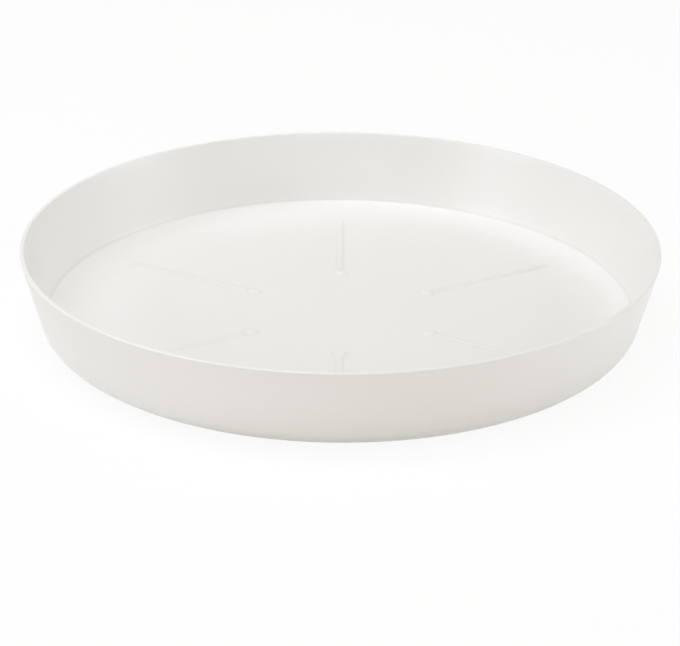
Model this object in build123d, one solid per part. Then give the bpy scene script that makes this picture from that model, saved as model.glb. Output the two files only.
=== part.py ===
"""A round plastic plant saucer, moulded in one piece.

Millimetres. +Z is up, and the origin is the centre of the ring that it stands on.
"""
from build123d import *
from math import atan2, cos, degrees, radians, sin, tan
import os

# Overall form
rim_diameter = 280.0      # widest diameter, over the rounded rim
height = 37.5             # from the ground to the top of the rim
flare = 10.0              # how much further out the wall stands at the rim than at the ground

# Skin
wall = 2.0                # thickness of the wall, square to its face
floor_thickness = 1.8
rim_round = 0.8           # radius of the rim's outer edge
rim_bevel = 0.5           # bevel on the rim's inner edge

# Turn from the wall into the floor
base_edge_radius = 10.0   # outer radius, under the turn
crease_turn = 59.0        # degrees of slope at which the inner turn ends in a crease
floor_curve_run = 11.0    # radial width of the curved edge of the floor, inside the crease

# Underside
foot_ring_height = 0.6    # how far the middle of the underside stands clear of the ground
foot_ring_width = 5.0
gate_dimple_diameter = 12.0
gate_dimple_depth = 0.4
gate_nub_diameter = 3.0
gate_nub_height = 0.5     # less than the dimple is deep plus the foot ring is high

# Ribs on the floor, and the round heads at their inner ends that a pot stands on
rib_count = 6
rib_first_angle = 30.0    # degrees from +X to the first rib
rib_width = 1.6
rib_height = 0.5
rib_end_gap = 4.0         # from a rib's outer end to the curved edge of the floor
rib_ramp = 6.0            # length of the slope down to the floor at the outer end
head_circle_radius = 45.0  # from the centre to the middle of each head
head_diameter = 5.0
head_height = 0.9
rib_bevel = 0.2           # bevel on the top edges of the ribs and heads

overrun = 0.5             # how far a rib reaches into the floor, and a cut past it


def on_arc(centre, radius, slope):
    """The point of a hollow arc about the centre where its slope is the given angle."""
    return (centre[0] + radius * sin(slope), centre[1] - radius * cos(slope))


# Lines of the wall, seen as a section with the radius across and the height up
lean = atan2(flare, height)
wall_slope = radians(90) - lean
rim_corner_radius = rim_diameter / 2 + rim_round * (1 / tan(wall_slope / 2) - 1)
foot_corner_radius = rim_corner_radius - flare
rim_inner_corner_radius = rim_corner_radius - wall / cos(lean)

# Both sides of the turn at the foot of the wall bend about one centre
turn_centre = (foot_corner_radius - base_edge_radius * tan(wall_slope / 2), base_edge_radius)
cove_radius = base_edge_radius - wall
foot_radius = turn_centre[0]

# The floor, flat in the middle and curved up to the crease
underside_level = foot_ring_height
floor_level = underside_level + floor_thickness
crease = on_arc(turn_centre, cove_radius, radians(crease_turn))
floor_flat_radius = crease[0] - floor_curve_run
floor_curve_rise = crease[1] - floor_level
floor_curve_radius = (floor_curve_run**2 + floor_curve_rise**2) / (2 * floor_curve_rise)
floor_curve_centre = (floor_flat_radius, floor_level + floor_curve_radius)
floor_curve_turn = 2 * atan2(floor_curve_rise, floor_curve_run)


def arc_between(centre, radius, first_slope, last_slope):
    """A hollow arc from one slope to another."""
    return ThreePointArc(
        on_arc(centre, radius, first_slope),
        on_arc(centre, radius, (first_slope + last_slope) / 2),
        on_arc(centre, radius, last_slope),
    )


def section():
    """Half of the saucer's section, from its axis to the rim and back."""
    gate_radius = gate_dimple_diameter / 2
    nub_radius = gate_nub_diameter / 2
    gate_level = underside_level + gate_dimple_depth
    nub_level = gate_level - gate_nub_height
    ring_inner_radius = foot_radius - foot_ring_width
    underside = Polyline(
        (0, floor_level),
        (0, nub_level),
        (nub_radius, nub_level),
        (nub_radius, gate_level),
        (gate_radius - gate_dimple_depth, gate_level),
        (gate_radius, underside_level),
        (ring_inner_radius - foot_ring_height, underside_level),
        (ring_inner_radius, 0),
        (foot_radius, 0),
    )
    outer_turn = arc_between(turn_centre, base_edge_radius, 0, wall_slope)
    inner_turn = arc_between(turn_centre, cove_radius, radians(crease_turn), wall_slope)
    floor_edge = arc_between(floor_curve_centre, floor_curve_radius, 0, floor_curve_turn)
    rim = Polyline(
        outer_turn @ 1,
        (rim_corner_radius, height),
        (rim_inner_corner_radius + rim_bevel, height),
        (rim_inner_corner_radius - rim_bevel * tan(lean), height - rim_bevel),
        inner_turn @ 1,
    )
    floor = Line((0, floor_level), (floor_flat_radius, floor_level))
    face = make_face(underside + outer_turn + rim + inner_turn + floor_edge + floor)
    widest_corner = face.vertices().sort_by(Axis.X)[-1]
    return fillet(widest_corner, rim_round)


def head():
    """A round head that the inner end of a rib runs into."""
    bottom = floor_level - overrun
    post = extrude(Pos(head_circle_radius, 0, bottom) * Circle(head_diameter / 2), amount=overrun + head_height)
    return chamfer(post.edges().group_by(Axis.Z)[-1], rib_bevel)


def rib():
    """One rib along +X: a straight bar that slopes down to the floor at its outer end."""
    end_radius = floor_flat_radius - rib_end_gap
    length = end_radius - head_circle_radius
    bottom = floor_level - overrun
    top = floor_level + rib_height
    outline = Pos(head_circle_radius, 0, bottom) * Rectangle(length, rib_width, align=(Align.MIN, Align.CENTER))
    bar = extrude(outline, amount=top - bottom)
    slope = Polygon(
        (end_radius - rib_ramp, top),
        (end_radius, floor_level),
        (end_radius + overrun, floor_level),
        (end_radius + overrun, top + overrun),
        (end_radius - rib_ramp, top + overrun),
        align=None,
    )
    bar -= extrude(Plane.XZ * slope, amount=rib_width, both=True)
    return chamfer(bar.edges().group_by(Axis.Z)[-1].filter_by(Axis.X), rib_bevel)


saucer = revolve(Plane.XZ * section(), axis=Axis.Z)
for place in PolarLocations(0, rib_count, start_angle=rib_first_angle):
    saucer += place * (rib() + head())

os.makedirs("parts", exist_ok=True)
export_step(saucer, "parts/saucer.step")
print("volume", round(saucer.volume), "mm3, size", saucer.bounding_box().size)
print("slope at the crease", round(degrees(floor_curve_turn), 1), "then", crease_turn)
print("flat floor", round(2 * floor_flat_radius, 1), "crease", [round(v, 2) for v in crease])
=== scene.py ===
"""The looks of the plant saucer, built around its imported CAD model."""
import math

import bmesh
import bpy
from mathutils import Matrix, Vector


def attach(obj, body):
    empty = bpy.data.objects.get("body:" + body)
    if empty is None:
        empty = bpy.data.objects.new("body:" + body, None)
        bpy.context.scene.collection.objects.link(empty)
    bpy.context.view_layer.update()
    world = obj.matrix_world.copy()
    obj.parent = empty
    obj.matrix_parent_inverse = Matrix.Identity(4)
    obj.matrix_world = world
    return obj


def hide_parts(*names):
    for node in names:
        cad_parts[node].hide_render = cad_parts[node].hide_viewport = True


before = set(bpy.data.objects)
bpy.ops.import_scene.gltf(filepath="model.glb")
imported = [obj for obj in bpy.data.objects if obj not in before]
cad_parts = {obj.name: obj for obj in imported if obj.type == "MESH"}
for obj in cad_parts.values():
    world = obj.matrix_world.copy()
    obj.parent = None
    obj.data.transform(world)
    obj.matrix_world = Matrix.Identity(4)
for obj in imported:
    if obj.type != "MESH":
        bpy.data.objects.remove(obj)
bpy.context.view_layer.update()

MM = 0.001

# The saucer's sizes in millimetres, as in the CAD model
RIM_DIAMETER = 280.0
HEIGHT = 37.5
FLARE = 10.0
WALL = 2.0
FLOOR_THICKNESS = 1.8
RIM_ROUND = 0.8
RIM_INNER_ROUND = 0.5
BASE_EDGE_RADIUS = 10.0
CREASE_TURN = 59.0
FLOOR_CURVE_RUN = 11.0
FOOT_RING_HEIGHT = 0.6
FOOT_RING_WIDTH = 5.0
GATE_DIMPLE_DIAMETER = 12.0
GATE_DIMPLE_DEPTH = 0.4
GATE_NUB_DIAMETER = 3.0
GATE_NUB_HEIGHT = 0.5
RIB_COUNT = 6
RIB_FIRST_ANGLE = 30.0
RIB_WIDTH = 1.6
RIB_HEIGHT = 0.5
RIB_END_GAP = 4.0
RIB_RAMP = 6.0
HEAD_CIRCLE_RADIUS = 45.0
HEAD_DIAMETER = 5.0
HEAD_HEIGHT = 0.9

# The soft sides of the ribs and heads reach this far out at the floor and this far in at the top
BAR_SPREAD = 1.3
BAR_INSET = 0.7
HEAD_SPREAD = 1.8
HEAD_INSET = 1.6

# They end a hair below the floor's surface, and the shapes stand this deep in the floor
FOOT_DIP = 0.01
SUNK = 0.4

# How finely the mesh is cut, and how close together two corners count as one
AROUND = 480
ARC_STEP = math.radians(6)
FLOOR_RING_STEP = 20.0
WALL_STEP = 6.0
RIB_STEPS = 24
HEAD_STEPS = 48
SIDE_STEPS = 10
JOIN_WITHIN = 0.001
SHARP_ANGLE = math.radians(20)

# The plastic: its gloss, the two colours of its faint clouding, its range of roughness, and the depth of its
# grain in millimetres. The scales say about how many blotches or grains there are to a metre.
PLASTIC_IOR = 1.49
PLASTIC_SPECULAR = 0.5
CLOUD_SCALE = 18.0
CLOUD_TONES = (0.856, 0.852, 0.832, 1), (0.880, 0.876, 0.856, 1)
SHEEN_SCALE = 60.0
ROUGHNESS = 0.28, 0.34
GRAIN_SCALE = 1400.0
GRAIN_DEPTH = 0.03
GRAIN_STRENGTH = 0.15

# It is darkened with painted shade in narrow corners: the shade colour there, and how far in millimetres it
# reaches and how much of it shows, first along the crease and then at the foot of the ribs and heads
PAINTED_SHADE_TONE = (0.67, 0.635, 0.585, 1)
CREASE_SHADE_REACH = 1.3
CREASE_SHADE_SHARE = 0.3
FOOT_SHADE_REACH = 1.4
FOOT_SHADE_SHARE = 0.18

# The floor: half its width in metres, its colour, and how white it looks without giving any light
FLOOR_HALF = 4.0
FLOOR_COLOUR = (0.95, 0.94, 0.92, 1)
FLOOR_GLOW_SHARE = 0.9

# Light that comes from everywhere, and the lamps, which all face the saucer.
# Each lamp has a name, its place and its size in metres, and its power in watts.
FILL_COLOUR = (1.0, 0.84, 0.56, 1)
FILL_STRENGTH = 0.21
LAMP_COLOUR = (0.92, 0.938, 1.0)
LAMPS = [
    ("overhead", (-0.15, -0.05, 1.30), (0.8, 0.5), 6.2),
    ("high_left", (-0.75, 0.1, 1.2), (0.7, 0.8), 6.6),
    ("front", (0.0, -1.7, 0.7), (1.4, 0.9), 5.5),
    ("left", (-1.51, -0.77, 0.55), (0.8, 0.6), 5.7),
    ("right", (1.6, 0.0, 0.7), (1.0, 1.0), 9.4),
    ("low_right", (1.8, -0.3, 0.25), (1.2, 0.4), 2.3),
]

# The camera, as fitted to the photograph's outline of the rim, base and ribs.
# The photograph's width and focal length are in pixels.
PHOTO_WIDTH = 680
PHOTO_FOCAL = 2550.4
CAMERA_DISTANCE = 4.0 * RIM_DIAMETER * MM
CAMERA_ELEVATION = math.radians(21.98)
CAMERA_PITCH = math.radians(1.890)
CAMERA_ROLL = math.radians(0.361)


def on_arc(centre, radius, slope):
    """The point of a hollow arc about the centre where its slope is the given angle."""
    return (centre[0] + radius * math.sin(slope), centre[1] - radius * math.cos(slope))


def arc(centre, radius, first, last):
    """Points of a hollow arc from one slope to another."""
    steps = max(2, math.ceil(abs(last - first) / ARC_STEP))
    return [on_arc(centre, radius, first + (last - first) * i / steps) for i in range(steps + 1)]


def rounded(before, corner, after, radius):
    """Points of the arc that rounds a corner of an outline."""
    a = (Vector(before) - Vector(corner)).normalized()
    b = (Vector(after) - Vector(corner)).normalized()
    half = a.angle(b) / 2
    centre = Vector(corner) + (a + b).normalized() * radius / math.sin(half)
    start = Vector(corner) + a * radius / math.tan(half) - centre
    end = Vector(corner) + b * radius / math.tan(half) - centre
    turn = start.angle(end)
    steps = max(3, math.ceil(turn / (2 * ARC_STEP)))
    points = []
    for i in range(steps + 1):
        share = i / steps
        way = start * math.sin((1 - share) * turn) + end * math.sin(share * turn)
        points.append(tuple(centre + way / math.sin(turn)))
    return points


def between(first, last, step):
    """Points inside a straight stretch, evenly spaced and at most one step apart."""
    a, b = Vector(first), Vector(last)
    count = math.ceil((b - a).length / step)
    return [tuple(a.lerp(b, i / count)) for i in range(1, count)]


# Lines of the section, worked out as in the CAD model
lean = math.atan2(FLARE, HEIGHT)
wall_slope = math.pi / 2 - lean
rim_corner_radius = RIM_DIAMETER / 2 + RIM_ROUND * (1 / math.tan(wall_slope / 2) - 1)
foot_corner_radius = rim_corner_radius - FLARE
rim_inner_corner_radius = rim_corner_radius - WALL / math.cos(lean)
turn_centre = (foot_corner_radius - BASE_EDGE_RADIUS * math.tan(wall_slope / 2), BASE_EDGE_RADIUS)
cove_radius = BASE_EDGE_RADIUS - WALL
foot_radius = turn_centre[0]
floor_level = FOOT_RING_HEIGHT + FLOOR_THICKNESS
crease = on_arc(turn_centre, cove_radius, math.radians(CREASE_TURN))
floor_flat_radius = crease[0] - FLOOR_CURVE_RUN
floor_curve_rise = crease[1] - floor_level
floor_curve_radius = (FLOOR_CURVE_RUN**2 + floor_curve_rise**2) / (2 * floor_curve_rise)
floor_curve_centre = (floor_flat_radius, floor_level + floor_curve_radius)
floor_curve_turn = 2 * math.atan2(floor_curve_rise, FLOOR_CURVE_RUN)
rib_end_radius = floor_flat_radius - RIB_END_GAP


def section():
    """The saucer's half section, from the middle of its underside round the rim to the middle of its floor."""
    gate_level = FOOT_RING_HEIGHT + GATE_DIMPLE_DEPTH
    nub_radius = GATE_NUB_DIAMETER / 2
    gate_radius = GATE_DIMPLE_DIAMETER / 2
    ring_inner_radius = foot_radius - FOOT_RING_WIDTH
    under = [
        (0, gate_level - GATE_NUB_HEIGHT),
        (nub_radius, gate_level - GATE_NUB_HEIGHT),
        (nub_radius, gate_level),
        (gate_radius - GATE_DIMPLE_DEPTH, gate_level),
        (gate_radius, FOOT_RING_HEIGHT),
    ]
    ring_top = (ring_inner_radius - FOOT_RING_HEIGHT, FOOT_RING_HEIGHT)
    under += between(under[-1], ring_top, FLOOR_RING_STEP)
    under += [ring_top, (ring_inner_radius, 0)]
    outer_turn = arc(turn_centre, BASE_EDGE_RADIUS, 0, wall_slope)
    inner_turn = arc(turn_centre, cove_radius, wall_slope, math.radians(CREASE_TURN))
    outer_corner = (rim_corner_radius, HEIGHT)
    inner_corner = (rim_inner_corner_radius, HEIGHT)
    outer_lip = rounded(outer_turn[-1], outer_corner, inner_corner, RIM_ROUND)
    inner_lip = rounded(outer_corner, inner_corner, inner_turn[0], RIM_INNER_ROUND)
    outer_wall = between(outer_turn[-1], outer_lip[0], WALL_STEP)
    inner_wall = between(inner_lip[-1], inner_turn[0], WALL_STEP)
    floor_edge = arc(floor_curve_centre, floor_curve_radius, floor_curve_turn, 0)
    floor = between((floor_flat_radius, floor_level), (0, floor_level), FLOOR_RING_STEP)
    walls = outer_turn + outer_wall + outer_lip + inner_lip + inner_wall + inner_turn
    return under + walls + floor_edge[1:] + floor + [(0, floor_level)]


def dish():
    """The saucer without its ribs, turned from the section."""
    points = section()
    mesh = bpy.data.meshes.new("dish")
    bm = bmesh.new()
    rings = []
    for radius, up in points:
        if radius == 0:
            rings.append([bm.verts.new((0, 0, up * MM))])
            continue
        ring = []
        for i in range(AROUND):
            angle = 2 * math.pi * i / AROUND
            ring.append(bm.verts.new(Vector((radius * math.cos(angle), radius * math.sin(angle), up)) * MM))
        rings.append(ring)
    for low, high in zip(rings, rings[1:]):
        for i in range(AROUND):
            j = (i + 1) % AROUND
            corners = [low[i % len(low)], low[j % len(low)], high[j % len(high)], high[i % len(high)]]
            kept = list(dict.fromkeys(corners))
            bm.faces.new(kept)
    bmesh.ops.recalc_face_normals(bm, faces=bm.faces)
    bm.to_mesh(mesh)
    bm.free()
    return mesh


def bar_outline(inset):
    """Outline of a rib's straight bar along +X, seen from above and drawn in by the inset."""
    half = RIB_WIDTH / 2 - inset
    end = rib_end_radius - inset
    run = [HEAD_CIRCLE_RADIUS + (end - HEAD_CIRCLE_RADIUS) * i / RIB_STEPS for i in range(RIB_STEPS + 1)]
    return [(x, -half) for x in run] + [(x, half) for x in reversed(run)]


def head_outline(inset):
    """Outline of a rib's round head, seen from above and drawn in by the inset."""
    radius = HEAD_DIAMETER / 2 - inset
    turns = [2 * math.pi * (i + 0.5) / HEAD_STEPS for i in range(HEAD_STEPS)]
    return [(HEAD_CIRCLE_RADIUS + radius * math.cos(turn), radius * math.sin(turn)) for turn in turns]


def side(top, spread, inset):
    """The soft side of a rib or head from inside the floor to its top, as pairs of inset and level."""
    rings = [(-spread, -SUNK)]
    for i in range(SIDE_STEPS + 1):
        share = i / SIDE_STEPS
        rise = share * share * (3 - 2 * share)
        rings.append((share * (spread + inset) - spread, rise * (top + FOOT_DIP) - FOOT_DIP))
    return rings


def raised(outline, rings, angle):
    """A closed shape that stands on the floor, low at the outer end of a rib, turned to its angle."""
    bm = bmesh.new()
    loops = []
    for inset, level in rings:
        loop = []
        for x, y in outline(inset):
            share = min(1, max(0, (rib_end_radius - x) / RIB_RAMP))
            up = level * share - SUNK * (1 - share) if level > 0 else level
            loop.append(bm.verts.new(Vector((x, y, floor_level + up)) * MM))
        loops.append(loop)
    for low, high in zip(loops, loops[1:]):
        for i in range(len(low)):
            j = (i + 1) % len(low)
            bm.faces.new([low[i], low[j], high[j], high[i]])
    bm.faces.new(loops[-1])
    bm.faces.new([*reversed(loops[0])])
    bmesh.ops.remove_doubles(bm, verts=bm.verts, dist=JOIN_WITHIN * MM)
    bmesh.ops.recalc_face_normals(bm, faces=bm.faces)
    bm.transform(Matrix.Rotation(math.radians(angle), 4, "Z"))
    mesh = bpy.data.meshes.new("raised")
    bm.to_mesh(mesh)
    bm.free()
    return mesh


def add(name, mesh):
    """Links a mesh to the scene as an object."""
    piece = bpy.data.objects.new(name, mesh)
    bpy.context.scene.collection.objects.link(piece)
    return piece


def fuse(piece, meshes):
    """Fuses separate closed meshes to a piece."""
    bm = bmesh.new()
    for mesh in meshes:
        bm.from_mesh(mesh)
    joined = bpy.data.meshes.new("joined")
    bm.to_mesh(joined)
    bm.free()
    tool = add("tool", joined)
    union = piece.modifiers.new("union", "BOOLEAN")
    union.operation = "UNION"
    union.solver = "EXACT"
    union.object = tool
    result = bpy.data.meshes.new_from_object(piece.evaluated_get(bpy.context.evaluated_depsgraph_get()))
    piece.modifiers.clear()
    piece.data = result
    bpy.data.objects.remove(tool)


def saucer():
    """The whole saucer as one closed mesh."""
    piece = add("saucer_body", dish())
    angles = [RIB_FIRST_ANGLE + 360 * i / RIB_COUNT for i in range(RIB_COUNT)]
    bar_side = side(RIB_HEIGHT, BAR_SPREAD, BAR_INSET)
    head_side = side(HEAD_HEIGHT, HEAD_SPREAD, HEAD_INSET)
    fuse(piece, [raised(bar_outline, bar_side, angle) for angle in angles])
    fuse(piece, [raised(head_outline, head_side, angle) for angle in angles])
    piece.data.polygons.foreach_set("use_smooth", [True] * len(piece.data.polygons))
    piece.data.set_sharp_from_angle(angle=SHARP_ANGLE)
    return piece


def reckon(tree, operation, *values):
    """A Math node's result. A value may be a number or another node's output."""
    made = tree.nodes.new("ShaderNodeMath")
    made.operation = operation
    for socket, value in zip(made.inputs, values):
        if isinstance(value, bpy.types.NodeSocket):
            tree.links.new(value, socket)
        else:
            socket.default_value = value
    return made.outputs[0]


def length(tree, a, b):
    """The length of a line that runs a one way and b square to it."""
    squares = [reckon(tree, "MULTIPLY", leg, leg) for leg in (a, b)]
    return reckon(tree, "SQRT", reckon(tree, "ADD", *squares))


def fade(tree, distance, none, full):
    """Goes softly from 0 at one distance to 1 at another, both in millimetres."""
    made = tree.nodes.new("ShaderNodeMapRange")
    made.interpolation_type = "SMOOTHSTEP"
    made.inputs["From Min"].default_value = none * MM
    made.inputs["From Max"].default_value = full * MM
    tree.links.new(distance, made.inputs["Value"])
    return made.outputs["Result"]


def shade_near_foot(tree, distance, foot):
    """Is 1 where a distance equals the foot's, in millimetres, and fades to 0 on both sides: where painted
    shade gathers at a foot.
    """
    off = reckon(tree, "ABSOLUTE", reckon(tree, "SUBTRACT", distance, foot * MM))
    return fade(tree, off, FOOT_SHADE_REACH, 0)


def painted_corner_shade(tree, place):
    """How much painted shade shows at a point: most in the crease and at the foot of a rib or head."""
    parts = tree.nodes.new("ShaderNodeSeparateXYZ")
    tree.links.new(place, parts.inputs["Vector"])
    x, y, z = parts.outputs
    radius = length(tree, x, y)
    out = reckon(tree, "SUBTRACT", radius, crease[0] * MM)
    up = reckon(tree, "SUBTRACT", z, crease[1] * MM)
    shade_in_crease = fade(tree, length(tree, out, up), CREASE_SHADE_REACH, 0)

    # Every rib is alike, so each point is turned to its nearest rib and measured along and across that
    turn = reckon(tree, "SUBTRACT", reckon(tree, "ARCTAN2", y, x), math.radians(RIB_FIRST_ANGLE))
    turn = reckon(tree, "WRAP", turn, math.pi / RIB_COUNT, -math.pi / RIB_COUNT)
    along = reckon(tree, "MULTIPLY", radius, reckon(tree, "COSINE", turn))
    across = reckon(tree, "MULTIPLY", radius, reckon(tree, "SINE", turn))
    at_bar = shade_near_foot(tree, reckon(tree, "ABSOLUTE", across), (RIB_WIDTH + BAR_SPREAD) / 2)
    before_end = fade(tree, along, rib_end_radius, rib_end_radius - RIB_RAMP)
    past_head = fade(tree, along, HEAD_CIRCLE_RADIUS, HEAD_CIRCLE_RADIUS + HEAD_DIAMETER / 2)
    at_bar = reckon(tree, "MULTIPLY", at_bar, reckon(tree, "MULTIPLY", before_end, past_head))
    from_head = length(tree, reckon(tree, "SUBTRACT", along, HEAD_CIRCLE_RADIUS * MM), across)
    at_head = shade_near_foot(tree, from_head, (HEAD_DIAMETER + HEAD_SPREAD) / 2)
    on_top = reckon(tree, "GREATER_THAN", z, (floor_level - FLOOR_THICKNESS / 2) * MM)
    shade_at_foot = reckon(tree, "MULTIPLY", reckon(tree, "MAXIMUM", at_bar, at_head), on_top)

    shares = (shade_in_crease, CREASE_SHADE_SHARE), (shade_at_foot, FOOT_SHADE_SHARE)
    return reckon(tree, "MAXIMUM", *[reckon(tree, "MULTIPLY", *pair) for pair in shares])


def white_plastic():
    """Satin moulded plastic: a warm white with a fine grain, faint clouding, and painted shade that darkens
    its corners.
    """
    material = bpy.data.materials.new("white_plastic")
    material.use_nodes = True
    tree = material.node_tree
    tree.nodes.clear()

    def node(kind, **values):
        made = tree.nodes.new(kind)
        for key, value in values.items():
            if hasattr(made, key):
                setattr(made, key, value)
            else:
                made.inputs[key].default_value = value
        return made

    out = node("ShaderNodeOutputMaterial")
    shader = node("ShaderNodeBsdfPrincipled")
    shader.inputs["Specular IOR Level"].default_value = PLASTIC_SPECULAR
    shader.inputs["IOR"].default_value = PLASTIC_IOR
    tree.links.new(shader.outputs["BSDF"], out.inputs["Surface"])
    place = node("ShaderNodeTexCoord")

    cloud = node("ShaderNodeTexNoise", Scale=CLOUD_SCALE, Detail=3.0, Roughness=0.5)
    tone = node("ShaderNodeMix", data_type="RGBA")
    tone.inputs[6].default_value, tone.inputs[7].default_value = CLOUD_TONES
    tree.links.new(place.outputs["Object"], cloud.inputs["Vector"])
    tree.links.new(cloud.outputs["Fac"], tone.inputs[0])

    # Painted shade: the base colour is darkened towards the shade colour in the crease and at the foot of the
    # ribs and heads
    shade = node("ShaderNodeMix", data_type="RGBA")
    shade.inputs[7].default_value = PAINTED_SHADE_TONE
    tree.links.new(painted_corner_shade(tree, place.outputs["Object"]), shade.inputs[0])
    tree.links.new(tone.outputs[2], shade.inputs[6])
    tree.links.new(shade.outputs[2], shader.inputs["Base Color"])

    sheen = node("ShaderNodeTexNoise", Scale=SHEEN_SCALE, Detail=4.0, Roughness=0.6)
    spread = node("ShaderNodeMapRange")
    spread.inputs["To Min"].default_value, spread.inputs["To Max"].default_value = ROUGHNESS
    tree.links.new(place.outputs["Object"], sheen.inputs["Vector"])
    tree.links.new(sheen.outputs["Fac"], spread.inputs["Value"])
    tree.links.new(spread.outputs["Result"], shader.inputs["Roughness"])

    grain = node("ShaderNodeTexNoise", Scale=GRAIN_SCALE, Detail=2.0, Roughness=0.5)
    bump = node("ShaderNodeBump", Strength=GRAIN_STRENGTH, Distance=GRAIN_DEPTH * MM)
    tree.links.new(place.outputs["Object"], grain.inputs["Vector"])
    tree.links.new(grain.outputs["Fac"], bump.inputs["Height"])
    tree.links.new(bump.outputs["Normal"], shader.inputs["Normal"])
    return material


def seen_rays(tree):
    """Is 1 for rays from the camera and for mirrored or transmitted ones, and 0 for diffuse light."""
    rays = tree.nodes.new("ShaderNodeLightPath")
    value = rays.outputs["Is Camera Ray"]
    for kind in ("Is Glossy Ray", "Is Transmission Ray"):
        value = reckon(tree, "MAXIMUM", value, rays.outputs[kind])
    return value


def floor_material():
    """A white floor that shows as the photograph's background and keeps the saucer's shadow."""
    material = bpy.data.materials.new("studio_floor")
    material.use_nodes = True
    tree = material.node_tree
    tree.nodes.clear()
    out = tree.nodes.new("ShaderNodeOutputMaterial")
    diffuse = tree.nodes.new("ShaderNodeBsdfDiffuse")
    diffuse.inputs["Color"].default_value = FLOOR_COLOUR
    glow = tree.nodes.new("ShaderNodeEmission")
    glow.inputs["Strength"].default_value = 1.0
    mix = tree.nodes.new("ShaderNodeMixShader")
    tree.links.new(reckon(tree, "MULTIPLY", seen_rays(tree), FLOOR_GLOW_SHARE), mix.inputs["Fac"])
    tree.links.new(diffuse.outputs[0], mix.inputs[1])
    tree.links.new(glow.outputs[0], mix.inputs[2])
    tree.links.new(mix.outputs[0], out.inputs["Surface"])
    return material


def studio():
    """The floor, the white surroundings and the lamps."""
    mesh = bpy.data.meshes.new("studio_floor")
    corners = [(x * FLOOR_HALF, y * FLOOR_HALF, 0) for x, y in ((-1, -1), (1, -1), (1, 1), (-1, 1))]
    mesh.from_pydata(corners, [], [(0, 1, 2, 3)])
    floor = add("studio_floor", mesh)
    floor.data.materials.append(floor_material())

    world = bpy.data.worlds.new("surroundings")
    bpy.context.scene.world = world
    world.use_nodes = True
    tree = world.node_tree
    tree.nodes.clear()
    out = tree.nodes.new("ShaderNodeOutputWorld")
    fill = tree.nodes.new("ShaderNodeBackground")
    fill.inputs["Color"].default_value = FILL_COLOUR
    fill.inputs["Strength"].default_value = FILL_STRENGTH
    white = tree.nodes.new("ShaderNodeBackground")
    white.inputs["Strength"].default_value = 1.0
    mix = tree.nodes.new("ShaderNodeMixShader")
    tree.links.new(seen_rays(tree), mix.inputs["Fac"])
    tree.links.new(fill.outputs[0], mix.inputs[1])
    tree.links.new(white.outputs[0], mix.inputs[2])
    tree.links.new(mix.outputs[0], out.inputs["Surface"])

    for name, place, size, power in LAMPS:
        lamp = bpy.data.lights.new(name, "AREA")
        lamp.shape = "RECTANGLE"
        lamp.size, lamp.size_y = size
        lamp.energy = power
        lamp.color = LAMP_COLOUR
        holder = bpy.data.objects.new(name, lamp)
        bpy.context.scene.collection.objects.link(holder)
        holder.location = place
        holder.rotation_euler = Vector(place).to_track_quat("Z", "Y").to_euler()
        holder.visible_camera = False


def camera():
    """A camera with no shift, aimed a little below the middle of the rim."""
    rim_centre = Vector((0, 0, HEIGHT * MM))
    away = Vector((0, -math.cos(CAMERA_ELEVATION), math.sin(CAMERA_ELEVATION)))
    down = CAMERA_ELEVATION + CAMERA_PITCH
    ahead = Vector((0, math.cos(down), -math.sin(down)))
    level = Vector((1, 0, 0))
    upright = level.cross(ahead)
    across = math.cos(CAMERA_ROLL) * level + math.sin(CAMERA_ROLL) * upright
    up = -math.sin(CAMERA_ROLL) * level + math.cos(CAMERA_ROLL) * upright
    data = bpy.data.cameras.new("camera")
    data.sensor_fit = "HORIZONTAL"
    data.lens = PHOTO_FOCAL / PHOTO_WIDTH * data.sensor_width
    holder = bpy.data.objects.new("camera", data)
    bpy.context.scene.collection.objects.link(holder)
    turn = Matrix((across, up, -ahead)).transposed().to_4x4()
    holder.matrix_world = Matrix.Translation(rim_centre + CAMERA_DISTANCE * away) @ turn
    bpy.context.scene.camera = holder


camera()
body = saucer()
body.data.materials.append(white_plastic())
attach(body, "root")
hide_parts("saucer")
studio()

bpy.context.scene.view_settings.view_transform = "Standard"
